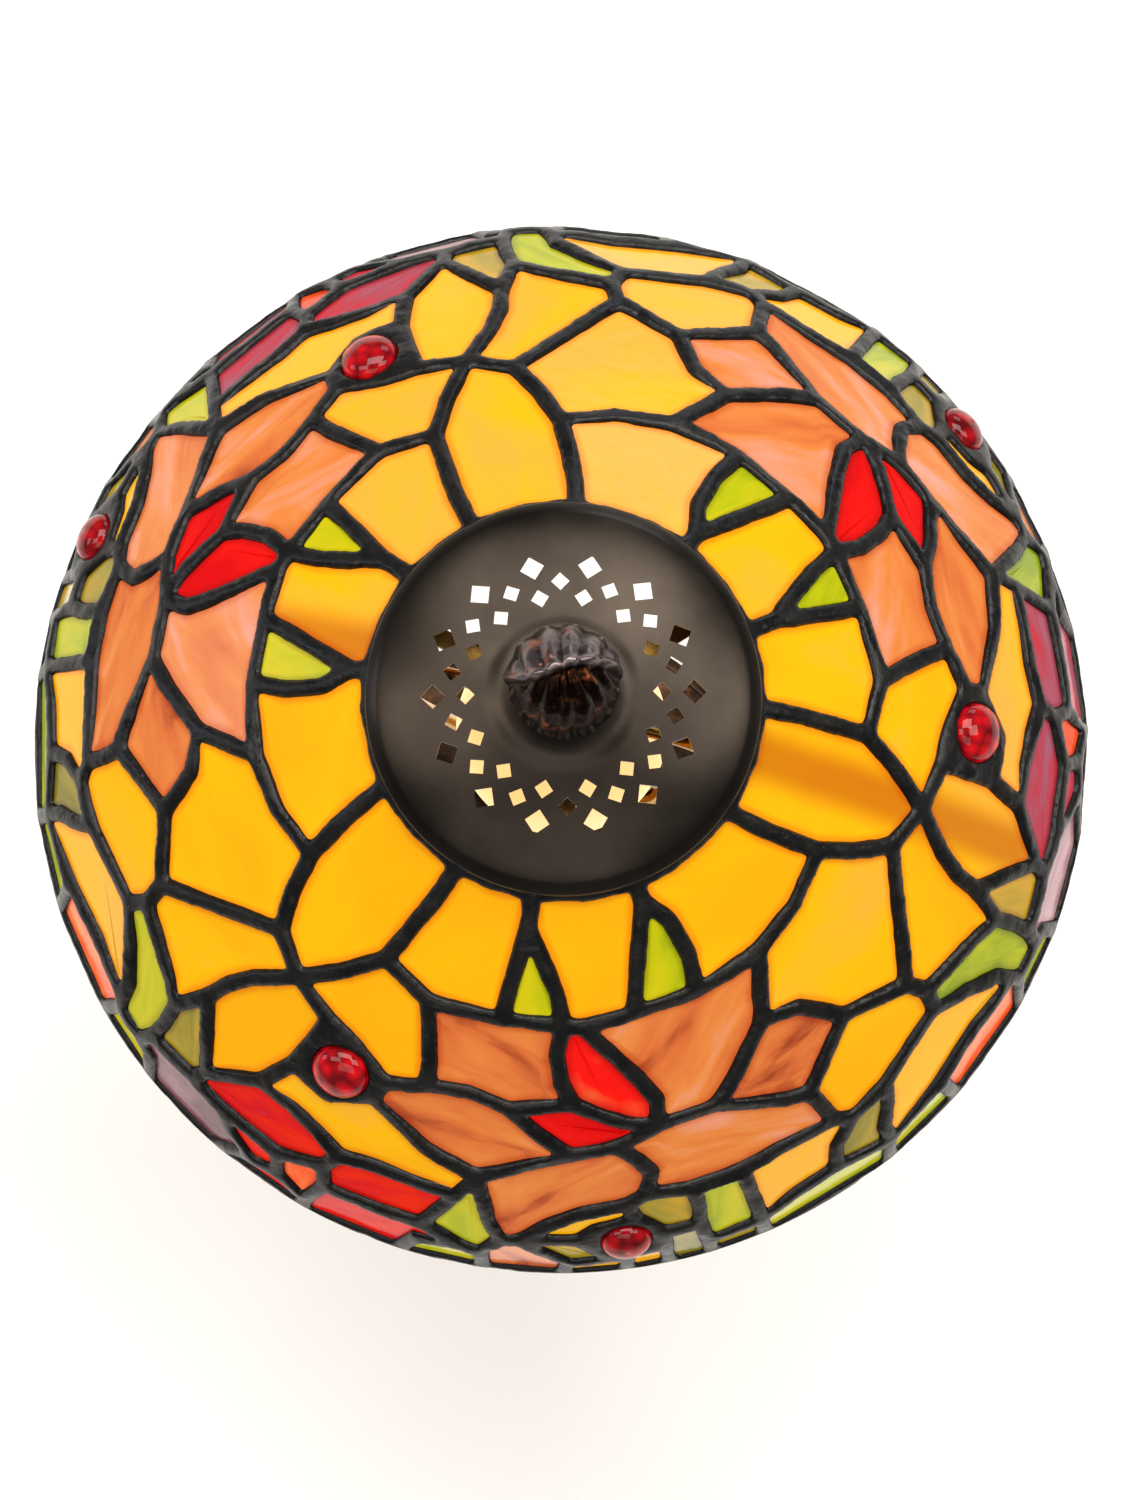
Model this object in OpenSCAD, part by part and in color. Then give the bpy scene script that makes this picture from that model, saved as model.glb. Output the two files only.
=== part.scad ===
// Stained glass table lamp: leaded dome shade on a turned bronze base, in millimetres, +Z up.
// The origin is the middle of the underside, on the table.

/* [Shade] */
// Height of the dome's top seam above the table
collar_z = 424; // [404:2:444]
// Radius of the dome's top seam
collar_r = 50; // [50:0.5:51]
// Slope of the dome at its top seam, in degrees
top_slope = 26.5; // [25:0.5:28]
// Thickness of the solder lattice
lead_t = 5.5; // [5:0.25:6]
// Thickness of the glass
glass_t = 3; // [2.5:0.25:3.5]
// Half the width of a soldered seam
seam_half = 2; // [1.75:0.25:2.25]
// Radius of an upper ruby jewel
jewel_r = 8.2; // [7.6:0.1:8.4]
// Radius of a lower ruby jewel
jewel_low_r = 7.2; // [6.6:0.1:7.4]

/* [Vent cap and finial] */
// Radius of the pierced cap
cap_r = 52.75; // [51:0.25:54]
// Half the diagonal of an outer piercing
hole_big = 3.3; // [2.8:0.1:3.4]
// Half the diagonal of an inner piercing
hole_small = 2.5; // [2.1:0.1:2.6]
// Number of piercings in a ring
hole_n = 14; // [12:1:14]
// Greatest radius of the finial
finial_r = 16.5; // [15:0.25:17]

/* [Harp and socket] */
// Half the distance between the harp's feet
harp_foot = 27; // [26.5:0.25:27.5]
// Radius of the harp's wire
wire_r = 2.2; // [2:0.05:2.3]
// Turn of the harp about the lamp's axis, in degrees
harp_turn = -17; // [-20:1:-14]
// Radius of the bulb's globe
bulb_r = 30; // [28:0.5:31]

/* [Base] */
// Radius of the foot
foot_r = 80; // [80:1:86]
// Number of ribs on the foot
rib_n = 16; // [12:1:18]
// Radius of the fluted column
column_r = 8; // [7.75:0.25:8.5]

/* [Hidden] */
$fn = 72;
dark = [0.2, 0.17, 0.14];
brass = [0.72, 0.55, 0.27];

// Dome: arcs that run on into one another, each [length, turn in degrees].
ARC = [[90, 17], [30, 12.5], [25, 29], [27, 15]];
function slope0(i) = i == 0 ? top_slope : slope0(i - 1) + ARC[i - 1][1];
function curve(i) = ARC[i][1] / ARC[i][0];
function run_r(i, d) = (sin(slope0(i) + d * curve(i)) - sin(slope0(i))) * 180 / (PI * curve(i));
function run_z(i, d) = (cos(slope0(i) + d * curve(i)) - cos(slope0(i))) * 180 / (PI * curve(i));
// Mid-surface [radius, height, slope] at a distance t down the dome.
function dome(t, i = 0, r = collar_r, z = collar_z) =
    i == len(ARC) - 1 || t <= ARC[i][0]
    ? [r + run_r(i, t), z + run_z(i, t), slope0(i) + t * curve(i)]
    : dome(t - ARC[i][0], i + 1, r + run_r(i, ARC[i][0]), z + run_z(i, ARC[i][0]));
function dome_off(t, h) = let (q = dome(t)) [q[0] + h * sin(q[2]), q[1] + h * cos(q[2])];

// Junctions of one pattern repeat: [angle in degrees, distance in mm down the dome from the collar].
PT = [
    // under the collar
    [-101, 1.5], [-86, 1.5], [-70.5, 1.5], [-59, 1.5], [-47.5, 1.5], [-36, 1.5], [-20, 1.5], [-4, 1.5],
    [-112.5, 1.5],
    // 9: sides of the two small leaves in the first ring
    [-100.5, 12], [-102, 26], [-95.8, 22], [-93, 31], [-102.8, 40.5], [-91.6, 40.5],
    [-70.2, 7.5], [-74.5, 20], [-77, 30], [-78.6, 39.2], [-65.8, 16], [-65.2, 28], [-66.6, 39.3],
    // 22: sides of the long petal and the seam below the first ring
    [-34.3, 14], [-31.3, 31.8], [-4.6, 14], [-6.8, 37], [-53, 38.6], [-42, 36.3], [-116.5, 42], [-88.3, 41],
    // 30: tip of the long petal, background beside it
    [-27.8, 43], [-23.8, 54], [-16.6, 60], [-11.5, 48], [-56.5, 48.5], [-58.8, 57.5], [-53, 61.5],
    [-50.6, 67.5], [-48.6, 74.3], [-39.3, 84], [-38.2, 91.5], [-39.3, 98.8],
    // 42: leaf group below the background
    [-33, 94.7], [-28.6, 98.6], [-25.8, 103], [-21.3, 72], [-23.2, 81], [-23.8, 89.5], [-21.4, 97],
    [-19.2, 105], [-17.6, 111.5], [-24.9, 120],
    // 52: round the upper jewel
    [-9, 64.3], [-9.6, 84.5], [-11.8, 98], [-4, 66.2], [2.4, 73], [1.8, 79.8],
    // 58: upper half of the flower
    [-111.8, 68], [-112.6, 60], [-114.3, 51], [-105.5, 66.3], [-99.4, 69.3], [-94.5, 67.2], [-90.2, 66.5],
    [-92.7, 50], [-91.9, 59.5], [-86.8, 70.2], [-83, 74.3], [-78.6, 77.3], [-85.2, 47.5], [-80.7, 58.5],
    [-78, 68.5], [-62.2, 63], [-70.3, 77.3], [-66.3, 70.5],
    // 76: lower half of the flower
    [-65.3, 81.8], [-60.8, 86.6], [-58.2, 88.8], [-57.6, 96], [-57.3, 102.7], [-55.3, 107], [-49.6, 105.3],
    [-45, 101.8], [-58.3, 114], [-59.6, 122.8], [-52.8, 128.5], [-50.8, 113], [-52.6, 121],
    [-81.6, 101.8], [-84, 105.2], [-76, 104], [-69.7, 104], [-64, 102.2],
    // 94: petals either side of the flower's foot
    [-84.4, 82.3], [-90.6, 84.8], [-82.2, 87.5], [-80.5, 94], [-95.3, 76.5], [-96, 88.5], [-102.5, 95.3],
    [-114.8, 83.3], [-109.5, 89.8], [-104.3, 103], [-109, 103.5], [-115, 103.6], [1, 106],
    [-2.6, 101.5], [-7, 98.3],
    // 109: leaves and crescent below the flower
    [-101.2, 104], [-100.2, 113], [-98.6, 121], [-89.3, 107.8], [-93.3, 113], [-96.2, 119.3],
    [-83.2, 111.5], [-87.8, 115], [-90, 119.8], [-75.7, 112], [-76, 120.3], [-80.3, 120.3],
    // 121: stems and the panes round them
    [-69.5, 117], [-69.4, 130], [-65, 124.8], [-105.8, 111], [-107.4, 120.3], [-113, 121], [-119.3, 121.5],
    [-0.3, 112.5], [-5.6, 119.5], [-4.6, 129], [-0.6, 136.5], [-13.5, 118.8], [-18.3, 117.2],
    [-11.3, 125.8], [-8, 131.5],
    // 136: along the shoulder
    [-25.1, 112], [-25.8, 126.8], [-29.8, 126.8], [-31.2, 116], [-34.8, 106.5], [-30.6, 121.5],
    [-37.5, 120.5], [-44.5, 124.8], [-23.8, 131], [-103, 127.3], [-107.6, 130.5], [-100.6, 129.5],
    [-94.3, 125.5], [-91, 134.5], [-87.6, 127.5], [-84.6, 131], [-80.2, 127],
    // 153: ring above the border
    [-109.5, 148], [-100.2, 148], [-91.5, 148], [-84.6, 148], [-80, 148], [-75.2, 148], [-69.2, 148],
    [-61.5, 148], [-53.5, 148], [-43.5, 148], [-31.5, 148], [-22.5, 148], [-12.5, 148], [-0.8, 148],
    // 167: bottom of the border
    [-109.5, 169], [-91.5, 169], [-75.2, 169], [-61.5, 169], [-43.5, 169], [-31.5, 169], [-12.5, 169],
    [-0.8, 169],
    // 175: below the upper jewel
    [-3.7, 87.2], [-75.6, 132]
];
// Panes of one repeat by kind of glass. A number over 1000 is the same junction one repeat further round.
AMBER = [
    [25, 1028, 1013, 1010, 1009, 1000, 1008, 7, 24],
    [0, 9, 11, 12, 14, 29, 18, 17, 16, 15, 2, 1],
    [2, 15, 19, 20, 21, 26, 27, 23, 22, 5, 4, 3],
    [5, 22, 23, 30, 31, 32, 33, 25, 24, 7, 6],
    [26, 34, 35, 36, 37, 38, 39, 31, 30, 23, 27],
    [25, 33, 32, 52, 55, 56, 1058, 1059, 1060, 1028],
    [38, 78, 79, 80, 81, 82, 83, 41, 40, 39],
    [31, 39, 40, 42, 43, 44, 47, 46, 45, 32],
    [32, 45, 46, 47, 48, 49, 50, 54, 53, 52],
    [53, 54, 108, 107, 106, 1105, 1104, 1103, 1100, 1102, 1101, 57, 175],
    [92, 121, 122, 123, 85, 84, 81, 80, 93],
    [82, 87, 88, 86, 143, 142, 141, 139, 140, 41, 83],
    [90, 112, 113, 114, 117, 116, 115],
    [151, 156, 157, 152],
    [149, 155, 156, 151]
];
PEACH = [
    [28, 60, 59, 58, 61, 62, 63, 64, 66, 65, 14, 13],
    [29, 70, 71, 72, 69, 74, 75, 73, 35, 34, 26, 21, 18],
    [35, 73, 75, 74, 76, 77, 78, 38, 37, 36],
    [1058, 56, 57, 1101, 1102, 1100, 1099, 1095, 1098, 1062, 1061],
    [74, 69, 94, 96, 97, 89, 91, 92, 93, 80, 79, 78, 77, 76],
    [94, 95, 99, 100, 109, 110, 111, 114, 113, 112, 90, 89, 97, 96],
    [111, 147, 154, 155, 149, 148, 114]
];
RED = [
    [29, 14, 65, 66, 64, 67, 68, 69, 72, 71, 70],
    [64, 63, 62, 98, 95, 94, 69, 68, 67]
];
ROSE = [
    [128, 1127, 1126, 1125, 1124, 1103, 1104, 1105, 106],
    [54, 108, 107, 106, 128, 129, 132, 133, 50],
    [132, 129, 130, 135, 134],
    [135, 130, 131, 166, 165],
    [1127, 1126, 1125, 1145, 1146, 1153, 166, 131]
];
ORANGE = [
    [128, 129, 130, 131, 1127],
    [143, 142, 141, 138, 163, 162]
];
GREEN = [
    [9, 10, 13, 14, 12, 11],
    [15, 16, 17, 18, 21, 20, 19],
    [40, 41, 140, 139, 141, 138, 137, 51, 136, 44, 43, 42],
    [91, 92, 121, 122, 176, 119, 118],
    [100, 103, 124, 125, 145, 147, 111, 110, 109],
    [145, 146, 153, 154, 147],
    [122, 159, 160, 161, 86, 85, 123],
    [86, 161, 162, 143],
    [138, 163, 164, 144, 137]
];
OLIVE = [
    [47, 44, 136, 51, 133, 50, 49, 48],
    [82, 81, 84, 85, 86, 88, 87],
    [89, 90, 115, 120, 119, 118, 91],
    [114, 148, 149, 151, 150, 117],
    [120, 119, 176, 158, 157, 152],
    [176, 122, 159, 158]
];
MAUVE = [
    [51, 133, 132, 134, 135, 165, 164, 144, 137]
];
BORDER = [
    [166, 1153, 1167, 174], [153, 154, 155, 168, 167], [155, 156, 157, 158, 169, 168],
    [158, 159, 160, 170, 169], [160, 161, 162, 171, 170], [162, 163, 172, 171],
    [163, 164, 165, 173, 172], [165, 166, 174, 173]
];

JEWEL_UP = [-3.7, 76.6];
JEWEL_LOW = [-84.5, 121.3];

function polar3(a, q) = [q[0] * cos(a), q[0] * sin(a), q[1]];
function junction(k) = polar3(PT[k % 1000][0] + 120 * floor(k / 1000), dome(PT[k % 1000][1]));
function total(v) = [for (i = v) 1] * v;
function unit(v) = v / norm(v);
function turn_of(p, c) = total([for (i = [0:len(p) - 1]) cross(p[i] - c, p[(i + 1) % len(p)] - c)]);
function outward(n, c) = n * [c[0], c[1], 60] > 0 ? n : -n;
// Flat frame of a pane: [x, y, outward normal, middle].
function frame_of(p) =
    let (c = total(p) / len(p), n = outward(unit(turn_of(p, c)), c), x = unit(cross([0, 0, 1], n)))
    [x, cross(n, x), n, c];
function flat(p, f) = [for (q = p) [(q - f[3]) * f[0], (q - f[3]) * f[1]]];
function area2(q) = total([for (i = [0:len(q) - 1])
    let (a = q[i], b = q[(i + 1) % len(q)]) a[0] * b[1] - b[0] * a[1]]);
function left(v) = [-v[1], v[0]];
// Outline moved in by w all round; a negative w moves it out.
function inset(q, w) = [for (i = [0:len(q) - 1])
    let (
        n = len(q), u = left(unit(q[i] - q[(i + n - 1) % n])), v = left(unit(q[(i + 1) % n] - q[i])),
        m = unit(u + v)
    ) q[i] + m * w / max(0.3, m * u)];
function ccw(q) = area2(q) > 0 ? q : [for (i = [len(q) - 1:-1:0]) q[i]];

module on_frame(f) {
    multmatrix([
        [f[0][0], f[1][0], f[2][0], f[3][0]],
        [f[0][1], f[1][1], f[2][1], f[3][1]],
        [f[0][2], f[1][2], f[2][2], f[3][2]]
    ]) children();
}

// Prism over one pane from height h0 to h1 above its own plane.
module over_pane(ids, w, h0, h1) {
    p = [for (k = ids) junction(k)];
    f = frame_of(p);
    on_frame(f)
        translate([0, 0, h0])
            linear_extrude(h1 - h0)
                polygon(inset(ccw(flat(p, f)), w));
}

module glass(list) {
    for (k = [0:2])
        rotate([0, 0, 120 * k])
            for (ids = list)
                over_pane(ids, seam_half, -glass_t / 2, glass_t / 2);
}

// Places its children on the dome at [angle, distance], z outward.
module on_dome(at) {
    q = dome(at[1]);
    rotate([0, 0, at[0]])
        translate([q[0], 0, q[1]])
            rotate([0, q[2], 0])
                children();
}

module cabochon(r) {
    translate([0, 0, -2]) cylinder(r = r, h = 4);
    translate([0, 0, 2])
        rotate_extrude()
            polygon([
                [0, 0], [r, 0], [r * 0.97, r * 0.14], [r * 0.88, r * 0.28], [r * 0.72, r * 0.41],
                [r * 0.5, r * 0.51], [r * 0.25, r * 0.57], [0, r * 0.59]
            ]);
}

module jewels(at, r) {
    for (k = [0:2])
        rotate([0, 0, 120 * k])
            on_dome(at)
                cabochon(r);
}

ALL = concat(AMBER, PEACH, RED, ROSE, ORANGE, GREEN, OLIVE, MAUVE, BORDER);
WRAP = [for (ids = ALL) if (max(ids) > 999) ids];
function first_angle(ids) = min([for (k = ids) PT[k % 1000][0] + 120 * floor(k / 1000)]);
EARLY = [for (ids = ALL) if (first_angle(ids) < -101) ids];

// Everything that is taken out of the lattice for one repeat's panes.
module windows(list) {
    for (ids = list) {
        over_pane(ids, seam_half, -9, 9);
        over_pane(ids, -1, lead_t / 2, 14);
    }
}

module jewel_holes() {
    on_dome(JEWEL_UP) translate([0, 0, -9]) cylinder(r = jewel_r, h = 24);
    on_dome(JEWEL_LOW) translate([0, 0, -9]) cylinder(r = jewel_low_r, h = 24);
}

module lattice(k) {
    h = lead_t / 2;
    top_out = dome_off(0, h)[1] + (dome_off(0, h)[0] - 46.5) * tan(top_slope);
    top_in = dome_off(0, -h)[1] + (dome_off(0, -h)[0] - 46.5) * tan(top_slope);
    color(dark)
        rotate([0, 0, 120 * k])
            difference() {
                rotate([0, 0, -104])
                    rotate_extrude(angle = 120)
                        polygon(concat(
                            [[46.5, top_out]],
                            [for (t = [0, 22, 45, 68, 90, 105, 120, 128, 136, 145, 158, 171]) dome_off(t, h)],
                            [for (t = [171, 158, 145, 136, 128, 120, 105, 90, 68, 45, 22, 0])
                                dome_off(t, -h)],
                            [[46.5, top_in]]
                        ));
                windows(ALL);
                rotate([0, 0, -120]) windows(WRAP);
                rotate([0, 0, 120]) windows(EARLY);
                jewel_holes();
            }
}

module glass_amber() color([0.96, 0.66, 0.05]) glass(AMBER);
module glass_peach() color([0.88, 0.52, 0.3]) glass(PEACH);
module glass_red() color([0.82, 0.08, 0.05]) glass(RED);
module glass_rose() color([0.75, 0.2, 0.2]) glass(ROSE);
module glass_orange() color([0.85, 0.33, 0.1]) glass(ORANGE);
module glass_green() color([0.66, 0.65, 0.08]) glass(GREEN);
module glass_olive() color([0.52, 0.44, 0.06]) glass(OLIVE);
module glass_mauve() color([0.7, 0.6, 0.66]) glass(MAUVE);
module glass_border() color([0.93, 0.7, 0.25]) glass(BORDER);
module jewels_upper() color([0.62, 0.02, 0.05]) jewels(JEWEL_UP, jewel_r);
module jewels_lower() color([0.62, 0.02, 0.05]) jewels(JEWEL_LOW, jewel_low_r);
module solder_a() lattice(0);
module solder_b() lattice(1);
module solder_c() lattice(2);

// Brass channel soldered round the shade's lower edge.
module rim_band() {
    z1 = dome_off(171, lead_t / 2)[1] - 0.02;
    color(dark)
        rotate_extrude()
            polygon([
                [146.8, z1], [146.8, z1 - 2.6], [147.6, z1 - 3.4], [152, z1 - 3.4],
                [152.8, z1 - 2.6], [152.8, z1 - 0.6], [152.2, z1]
            ]);
}

// Ring soldered inside the dome's top seam; it carries the shade.
module collar_ring() {
    color(brass)
        rotate_extrude()
            polygon([
                [43.7, collar_z - 7.9], [46.45, collar_z - 7.9], [46.45, collar_z + 3.4],
                [43.7, collar_z + 3.4]
            ]);
}

/* ---- shade support ---- */

// Three-armed wheel on the harp; the shade's collar ring stands on its flange.
module shade_wheel() {
    z0 = collar_z - 8.5;
    color(brass)
        difference() {
            union() {
                translate([0, 0, z0]) cylinder(r = 8, h = 3);
                for (a = [30, 150, 270])
                    rotate([0, 0, a])
                        translate([5, -2.5, z0])
                            cube([37, 5, 3]);
                rotate_extrude()
                    polygon([
                        [41, z0 - 2], [46, z0 - 2], [46, z0 + 0.5], [43.3, z0 + 0.5],
                        [43.3, z0 + 6], [41, z0 + 6]
                    ]);
            }
            translate([0, 0, z0 - 1]) cylinder(r = 3.05, h = 5);
        }
}

// Spun cap, pierced with three rings of diamond holes.
module vent_cap() {
    z0 = collar_z + 5;
    color(dark)
        difference() {
            union() {
                rotate_extrude()
                    polygon([
                        [3.4, z0 + 11.8], [17.2, z0 + 11.6], [18.6, z0 + 9.9], [30, z0 + 7.6],
                        [40, z0 + 4.6], [cap_r - 3, z0 + 0.4], [cap_r - 1.6, z0 - 0.2],
                        [cap_r - 0.6, z0 + 1.1], [cap_r - 2.2, z0 + 1.8], [40.4, z0 + 5.9],
                        [30.4, z0 + 8.9], [19.4, z0 + 11.3], [17.9, z0 + 12.9], [3.4, z0 + 13.1]
                    ]);
                rotate_extrude()
                    translate([cap_r - 1.4, z0])
                        circle(r = 1.4);
            }
            for (k = [0:hole_n - 1]) {
                step = 360 / hole_n;
                rotate([0, 0, 102.3 + k * step]) diamond(cap_r * 0.653, hole_big, z0);
                rotate([0, 0, 90 + k * step]) diamond(cap_r * 0.567, hole_small, z0);
                rotate([0, 0, 102.3 + k * step]) diamond(cap_r * 0.49, hole_small, z0);
            }
        }
}

module diamond(r, d, z0) {
    translate([r, 0, z0])
        linear_extrude(20)
            polygon([[d, 0], [0, d], [-d, 0], [0, -d]]);
}

// Tube on the stud that holds the cap up off the wheel.
module cap_spacer() {
    color(brass)
        tube(3.3, 6, collar_z - 5.5, collar_z + 16.8);
}

module finial_washer() {
    color(dark)
        tube(3.3, 10, collar_z + 18.1, collar_z + 19.3);
}

module tube(r_in, r_out, z0, z1) {
    translate([0, 0, z0])
        difference() {
            cylinder(r = r_out, h = z1 - z0);
            translate([0, 0, -1]) cylinder(r = r_in, h = z1 - z0 + 2);
        }
}

// Cast leaf-bud knob that screws down on the stud.
module finial() {
    z0 = collar_z + 19.35;
    r = finial_r;
    color(dark)
        difference() {
            rotate_extrude()
                    polygon([
                        [0, z0], [8.5, z0], [9.5, z0 + 1.5], [8, z0 + 3], [r * 0.62, z0 + 5],
                        [r * 0.85, z0 + 8.5], [r * 0.93, z0 + 13], [r * 0.88, z0 + 17.5],
                        [r * 0.84, z0 + 18.6], [r * 0.86, z0 + 19.4], [r * 0.78, z0 + 23.5],
                        [r * 0.62, z0 + 27.5], [r * 0.4, z0 + 30.8], [r * 0.2, z0 + 32.6], [0, z0 + 33.2]
                    ]);
            translate([0, 0, z0 - 1]) cylinder(r = 3.05, h = 16);
            for (a = [0:30:359])
                rotate([0, 0, a])
                    bud_groove(z0);
        }
}

// Grooves between the ribs of the lower and the upper leaves.
module bud_groove(z0) {
    r = finial_r;
    translate([r * 0.93 + 0.9, 0, z0 + 4])
        cylinder(r = 1.7, h = 13.6);
    rotate([0, 0, 15])
        translate([r + 1.1, 0, z0 + 18])
            rotate([0, -38, 0])
                cylinder(r1 = 2, r2 = 1.6, h = 17);
}

/* ---- harp ---- */

// Bent steel wire: two legs and a flat top, with a small weld bead at each change of bend.
module harp_loop() {
    color(brass)
        rotate([0, 0, harp_turn]) {
            for (a = [0, 180])
                rotate([0, 0, a])
                    harp_half();
            translate([0.3 - top_x, 0, top_z])
                rotate([0, 90, 0])
                    cylinder(r = wire_r, h = 2 * top_x - 0.6);
        }
}

bend = 25;
leg_z = 278;
foot_x = harp_foot + 30 * (1 - cos(bend));
foot_z = leg_z + 30 * sin(bend);
side_x = foot_x + 22 * sin(bend);
side_z = foot_z + 22 * cos(bend);
crown_z = side_z + 220 * sin(bend);
top_x = side_x - 12 * cos(bend);
top_z = crown_z + 12 * (1 - sin(bend));

module harp_half() {
    translate([harp_foot, 0, 250]) cylinder(r = wire_r, h = leg_z - 250.3);
    wire_arc([harp_foot + 30, leg_z], 30, 180 - bend, bend);
    translate([foot_x, 0, foot_z])
        rotate([0, bend, 0])
            translate([0, 0, 0.3])
                cylinder(r = wire_r, h = 21.4);
    wire_arc([side_x - 110 * cos(bend), side_z + 110 * sin(bend)], 110, -bend, 2 * bend - 0.3);
    wire_arc([top_x, crown_z - 12 * sin(bend)], 12, bend, 90 - bend);
    for (p = [[harp_foot, leg_z], [foot_x, foot_z], [side_x, side_z], [side_x, crown_z], [top_x, top_z]])
        translate([p[0], 0, p[1]])
            sphere(r = wire_r + 0.15);
}

// Piece of bent wire in the XZ plane: centre, bend radius, start angle, sweep.
module wire_arc(c, r, from, sweep) {
    translate([c[0], 0, c[1]])
        rotate([90, 0, 0])
            rotate([0, 0, from])
                rotate_extrude(angle = sweep)
                    translate([r, 0])
                        circle(r = wire_r);
}

// Boss on the crown of the harp with the threaded stud for the finial.
module harp_boss() {
    color(brass)
        rotate([0, 0, harp_turn])
            difference() {
                union() {
                    translate([0, 0, top_z - 4]) cylinder(r = 6.5, h = 7);
                    translate([0, 0, top_z + 3]) cylinder(r = 9, h = collar_z - 8.5 - top_z - 3);
                    translate([0, 0, collar_z - 9]) cylinder(r = 2.95, h = 41);
                }
                translate([-20, 0, top_z])
                    rotate([0, 90, 0])
                        cylinder(r = wire_r, h = 40);
            }
}

// Flat bar under the socket with a post at each end for the harp.
module harp_saddle() {
    color(brass)
        rotate([0, 0, harp_turn])
            difference() {
                union() {
                    translate([-harp_foot, -5, 246]) cube([2 * harp_foot, 10, 2.5]);
                    for (s = [-1, 1]) {
                        translate([s * harp_foot, 0, 246]) cylinder(r = 5, h = 2.5);
                        translate([s * harp_foot, 0, 248]) cylinder(r = 3.6, h = 14);
                    }
                    translate([0, 0, 246]) cylinder(r = 10, h = 2.5);
                }
                for (s = [-1, 1])
                    translate([s * harp_foot, 0, 250]) cylinder(r = wire_r, h = 20);
                translate([0, 0, 240]) cylinder(r = 4.9, h = 12);
            }
}

// Knurled sleeve that drops over the post and locks the harp.
module ferrule(s) {
    color(brass)
        rotate([0, 0, harp_turn])
            translate([s * harp_foot, 0, 0])
                rotate_extrude()
                    polygon([
                        [3.95, 248.8], [5.6, 248.8], [5.6, 252], [5.1, 252.5], [5.1, 262], [5.6, 262.5],
                        [5.6, 264.5], [4.6, 266], [2.6, 266], [2.6, 264], [3.95, 262.8]
                    ]);
}

module ferrule_left() ferrule(-1);
module ferrule_right() ferrule(1);

/* ---- socket ---- */

module socket_cap() {
    color(brass)
        rotate_extrude()
            polygon([
                [4.85, 248.5], [8, 248.5], [8, 253], [16.6, 261.5], [16.9, 262.5], [16.9, 268], [15.5, 268],
                [15.5, 262.6], [13.8, 262.6], [7, 256], [4.85, 256]
            ]);
}

module socket_shell() {
    color(brass)
        difference() {
            rotate_extrude()
                polygon([
                    [14.6, 262.6], [15.5, 262.6], [15.5, 302], [16.3, 303], [16.3, 304.5], [15.5, 305.5],
                    [14.6, 305.5]
                ]);
            translate([0, 0, 273]) rotate([90, 0, 0]) cylinder(r = 2.8, h = 20);
        }
}

module socket_liner() {
    color([0.75, 0.68, 0.55])
        difference() {
            tube(13.6, 14.55, 262.7, 304);
            translate([0, 0, 273]) rotate([90, 0, 0]) cylinder(r = 2.8, h = 20);
        }
}

module switch_body() {
    color([0.16, 0.12, 0.1])
        difference() {
            translate([0, 0, 264]) cylinder(r = 13.5, h = 13);
            translate([0, 0, 263]) cylinder(r = 3, h = 4);
        }
}

module screw_shell() {
    color(brass)
        rotate_extrude()
            polygon(concat(
                [[13.5, 277.1], [13.5, 303]],
                [for (k = [0:6]) each [[13.1, 303 - 3.6 * k], [13.35, 301.2 - 3.6 * k]]],
                [[13.1, 277.1]]
            ));
}

module contact_spring() {
    color(brass) {
        translate([0, 0, 277]) cylinder(r = 4, h = 1.5);
        translate([0, 0, 278.5]) cylinder(r1 = 3.6, r2 = 2, h = 2.5);
    }
}

// Horn on the socket's side that the pull chain runs through.
module chain_guide() {
    color(brass)
        difference() {
            union() {
                translate([0, -13.7, 273]) rotate([90, 0, 0]) cylinder(r = 2.6, h = 8.8);
                translate([0, -22.5, 265]) cylinder(r1 = 4, r2 = 3.2, h = 3);
                translate([0, -22.5, 268]) cylinder(r = 3.2, h = 8);
            }
            translate([0, -22.5, 264]) cylinder(r = 2, h = 10.5);
        }
}

bead_n = 18;
module pull_chain() {
    color(brass)
        translate([0, -22.5, 0])
            for (k = [0:bead_n - 1]) {
                translate([0, 0, 272 - 3.4 * k]) sphere(r = 1.3);
                translate([0, 0, 269 - 3.4 * k]) cylinder(r = 0.4, h = 2.6);
            }
}

// Small turned drop on the end of the chain.
module chain_bob() {
    z1 = 269 - 3.4 * (bead_n - 1);
    color(dark)
        translate([0, -22.5, 0])
            rotate_extrude()
                polygon([
                    [0, z1], [1.2, z1], [1.6, z1 - 2], [2.8, z1 - 4], [3.8, z1 - 8], [4, z1 - 12],
                    [3.2, z1 - 15], [1.6, z1 - 17.5], [0, z1 - 18]
                ]);
}

/* ---- bulb ---- */

module bulb_glass() {
    cz = 356;
    color([1, 0.96, 0.86, 0.6])
        difference() {
            bulb_form(cz, 0);
            bulb_form(cz, 0.8);
        }
}

module bulb_form(cz, w) {
    translate([0, 0, cz])
        intersection() {
            sphere(r = bulb_r - w);
            translate([-40, -40, -18]) cube([80, 80, 60]);
        }
    rotate_extrude()
        polygon([
            [0, 306 + w], [12.4 - w, 306 + w], [12.8 - w, 314], [15 - w, 322], [19 - w, 330],
            [sqrt((bulb_r - w) ^ 2 - 324), cz - 18], [0, cz - 18]
        ]);
}

module bulb_base() {
    color([0.8, 0.78, 0.74])
        rotate_extrude()
            polygon(concat(
                [[9, 287], [12, 287]],
                [for (k = [0:5]) each [[12.5, 289 + 3 * k], [12, 290.5 + 3 * k]]],
                [[12.2, 306], [9, 306]]
            ));
}

module bulb_insulator() {
    color([0.1, 0.1, 0.12])
        rotate_extrude()
            polygon([[0, 281.6], [2.2, 281.6], [3.6, 282.6], [8.9, 286.9], [8.9, 290], [0, 290]]);
}

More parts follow.
